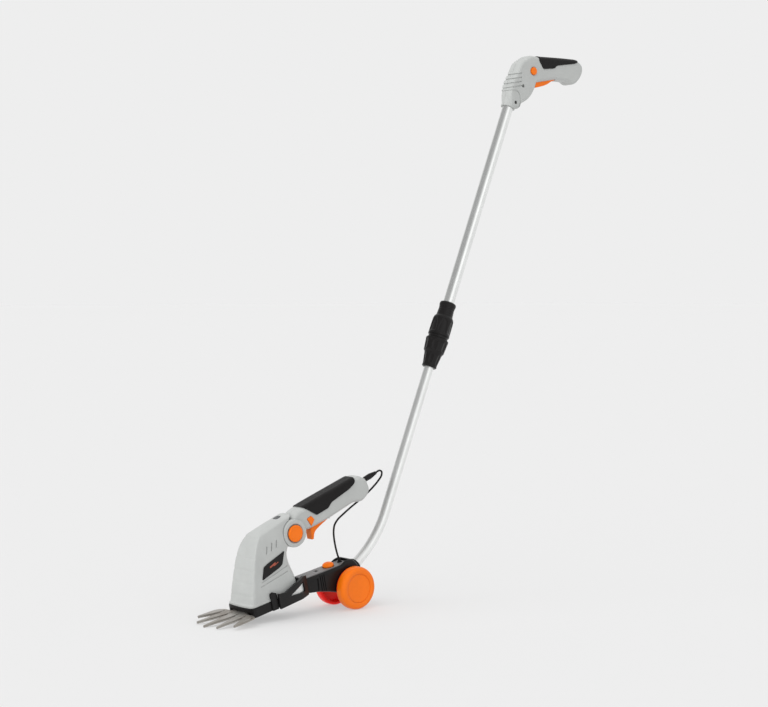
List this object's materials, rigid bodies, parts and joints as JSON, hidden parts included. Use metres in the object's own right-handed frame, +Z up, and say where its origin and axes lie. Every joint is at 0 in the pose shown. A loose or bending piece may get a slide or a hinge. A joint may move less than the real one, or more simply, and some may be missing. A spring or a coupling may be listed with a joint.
{
  "type": "pole hedge trimmer",
  "caption": "Cordless shear docked on a two-wheeled cart, with a telescopic pole and a trigger handle on top.",
  "frame": {"origin": "on the ground, under the centre of the whole tool's box", "axes": "+Z up, -Y towards the blades, +X to the tool's left"},
  "size_m": [0.1064, 0.8492, 0.9703],
  "materials": {
    "shell_grey": "light grey moulded plastic, fine satin grain",
    "plate_grey": "mid grey moulded plastic",
    "black_plastic": "black moulded plastic, satin",
    "grip_rubber": "soft black grip, matt",
    "orange": "orange moulded plastic, semi-gloss",
    "tube": "satin anodised tube",
    "steel": "machined steel",
    "blade": "ground blade steel",
    "brass": "machined brass",
    "cell": "wrapped battery cell",
    "board": "circuit board",
    "window": "dark tinted window"
  },
  "bodies": {
    "root": {"head_shell_left": "shell_grey", "head_shell_right": "shell_grey", "label_panel_left": "black_plastic", "label_panel_right": "black_plastic", "charge_window": "window", "lower_blade": "blade", "blade_cover": "black_plastic", "blade_pivot_bolt": "steel", "base_rim": "black_plastic", "gear_stud": "steel", "gear_plate": "steel", "drive_motor": "steel", "cart_shell_left": "black_plastic", "cart_shell_right": "black_plastic", "docking_fork": "black_plastic", "cart_top_plate": "plate_grey", "lead_gland": "black_plastic", "pole_socket": "black_plastic", "axle": "steel", "lower_tube": "tube", "tube_stop": "black_plastic", "lead": "black_plastic"},
    "upper_blade": {"upper_blade": "blade"},
    "crank_gear": {"crank_gear": "steel"},
    "motor_pinion": {"motor_pinion": "brass"},
    "shear_handle": {"handle_shell_left": "shell_grey", "handle_shell_right": "shell_grey", "handle_grip": "grip_rubber", "hub_axle": "steel", "battery_cell_front": "cell", "battery_cell_rear": "cell", "switch_board": "board", "trigger_switch": "black_plastic", "lead_socket": "black_plastic", "plug_body": "black_plastic", "plug_barrel": "steel", "trigger_pin": "steel"},
    "pivot_button_left": {"pivot_button_left": "orange"},
    "pivot_button_right": {"pivot_button_right": "orange"},
    "shear_lock_button": {"shear_lock_button": "orange"},
    "shear_trigger": {"shear_trigger": "orange"},
    "cart_button": {"cart_button": "orange"},
    "wheel_left": {"wheel_left": "orange", "wheel_cap_left": "orange"},
    "wheel_right": {"wheel_right": "orange", "wheel_cap_right": "orange"},
    "pole_upper": {"upper_tube": "tube", "clamp_sleeve": "black_plastic", "clamp_collet": "plate_grey", "top_shell_left": "shell_grey", "top_shell_right": "shell_grey", "top_grip": "grip_rubber", "top_trigger_pin": "steel", "top_switch": "black_plastic", "top_screw_1": "steel", "top_screw_2": "steel"},
    "clamp_nut": {"clamp_nut": "black_plastic"},
    "top_trigger": {"top_trigger": "orange"},
    "top_lock_button": {"top_lock_button": "orange"}
  },
  "joints": [
    {"name": "handle_tilt", "type": "hinge", "parent": "root", "child": "shear_handle", "pos_m": [0, -0.25798, 0.13783], "axis": [1, 0, 0], "range_deg": [-10, 15], "deforming": ["lead"]},
    {"name": "pivot_button_left_press", "type": "slide", "parent": "shear_handle", "child": "pivot_button_left", "axis": [-1, 0, 0], "range_m": [0, 0.0025], "stiffness_N_per_m": 300},
    {"name": "pivot_button_right_press", "type": "slide", "parent": "shear_handle", "child": "pivot_button_right", "axis": [1, 0, 0], "range_m": [0, 0.0025], "stiffness_N_per_m": 300},
    {"name": "shear_lock_press", "type": "slide", "parent": "shear_handle", "child": "shear_lock_button", "axis": [-1, 0, 0], "range_m": [-0.0025, 0.0025], "stiffness_N_per_m": 200},
    {"name": "shear_trigger_pull", "type": "hinge", "parent": "shear_handle", "child": "shear_trigger", "pos_m": [0, -0.18024, 0.1563], "axis": [1, 0, 0], "range_deg": [-5, 0], "stiffness_Nm_per_rad": 0.2},
    {"name": "blade_swing", "type": "hinge", "parent": "root", "child": "upper_blade", "pos_m": [0, -0.3382, 0.02048], "axis": [0, -0.1994, 0.9799], "range_deg": [-6, 6]},
    {"name": "crank_spin", "type": "hinge", "parent": "root", "child": "crank_gear", "pos_m": [0, -0.32275, 0.03485], "axis": [0, -0.1994, 0.9799], "continuous": true},
    {"name": "pinion_spin", "type": "hinge", "parent": "root", "child": "motor_pinion", "pos_m": [0, -0.30365, 0.03976], "axis": [0, -0.1994, 0.9799], "continuous": true},
    {"name": "cart_button_press", "type": "slide", "parent": "root", "child": "cart_button", "axis": [0, 0.1994, -0.9799], "range_m": [0, 0.003], "stiffness_N_per_m": 300},
    {"name": "wheel_left_spin", "type": "hinge", "parent": "root", "child": "wheel_left", "pos_m": [0.0306, -0.1376, 0.036], "axis": [1, 0, 0], "continuous": true},
    {"name": "wheel_right_spin", "type": "hinge", "parent": "root", "child": "wheel_right", "pos_m": [-0.0306, -0.1376, 0.036], "axis": [1, 0, 0], "continuous": true},
    {"name": "pole_extend", "type": "slide", "parent": "root", "child": "pole_upper", "axis": [0, 0.3762, 0.9265], "range_m": [-0.22, 0.08]},
    {"name": "clamp_twist", "type": "hinge", "parent": "pole_upper", "child": "clamp_nut", "pos_m": [0, 0.0608, 0.42369], "axis": [0, 0.3762, 0.9265], "range_deg": [0, 90]},
    {"name": "top_trigger_pull", "type": "hinge", "parent": "pole_upper", "child": "top_trigger", "pos_m": [0, 0.35009, 0.93001], "axis": [1, 0, 0], "range_deg": [-5, 0], "stiffness_Nm_per_rad": 0.2},
    {"name": "top_lock_press", "type": "slide", "parent": "pole_upper", "child": "top_lock_button", "axis": [-1, 0, 0], "range_m": [-0.0025, 0.0025], "stiffness_N_per_m": 200}
  ],
  "couplings": [
    {"joint": "pinion_spin", "follows": "crank_spin", "ratio": -3.75}
  ]
}
